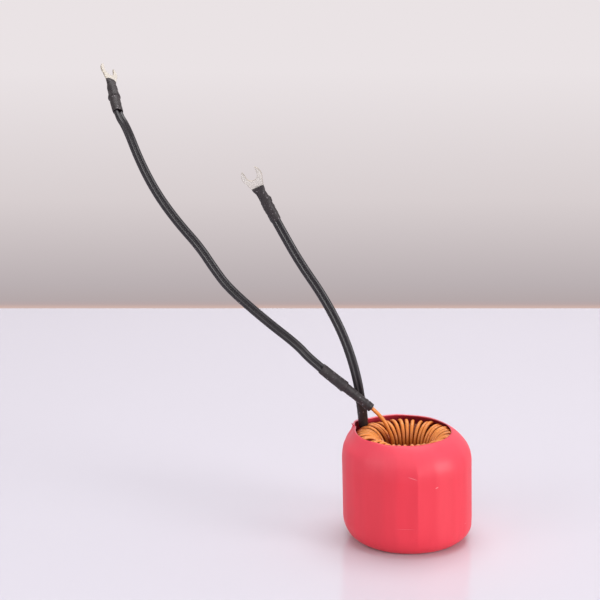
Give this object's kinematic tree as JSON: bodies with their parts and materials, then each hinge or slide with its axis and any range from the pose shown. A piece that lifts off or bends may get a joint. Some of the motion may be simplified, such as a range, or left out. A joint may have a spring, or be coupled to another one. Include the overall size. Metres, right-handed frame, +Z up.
{
  "type": "series transformer",
  "caption": "Ring-core series transformer: enamelled wire wound round a ring in a red shrink jacket, with two flat twin leads ending in fork terminals.",
  "frame": {"origin": "middle of the base, on the table", "axes": "+Z up along the ring's axis, +X to the right and +Y away as seen from the front, leads leaning to -X"},
  "size_m": [0.1689, 0.0596, 0.218],
  "materials": {
    "core_steel": "matte strip-wound steel",
    "enamelled_copper": "glossy orange enamel on copper",
    "red_film": "satin shrink film",
    "black_pvc": "satin flexible sheath",
    "black_shrink": "matte shrink sleeve",
    "solder": "dull solder",
    "bare_copper": "bare strands",
    "tinned_copper": "bright tin plate"
  },
  "bodies": {
    "root": {"toroid_core": "core_steel", "winding": "enamelled_copper", "shrink_jacket": "red_film", "lead_long": "black_pvc", "lead_short": "black_pvc", "solder_joint_long": "solder", "solder_joint_short": "solder", "splice_sleeve_thin": "black_shrink", "splice_sleeve_fat": "black_shrink", "splice_sleeve_short": "black_shrink", "conductor_long": "bare_copper", "conductor_short": "bare_copper", "fork_terminal_long": "tinned_copper", "fork_terminal_short": "tinned_copper", "terminal_sleeve_long": "black_shrink", "terminal_sleeve_short": "black_shrink"}
  },
  "joints": []
}
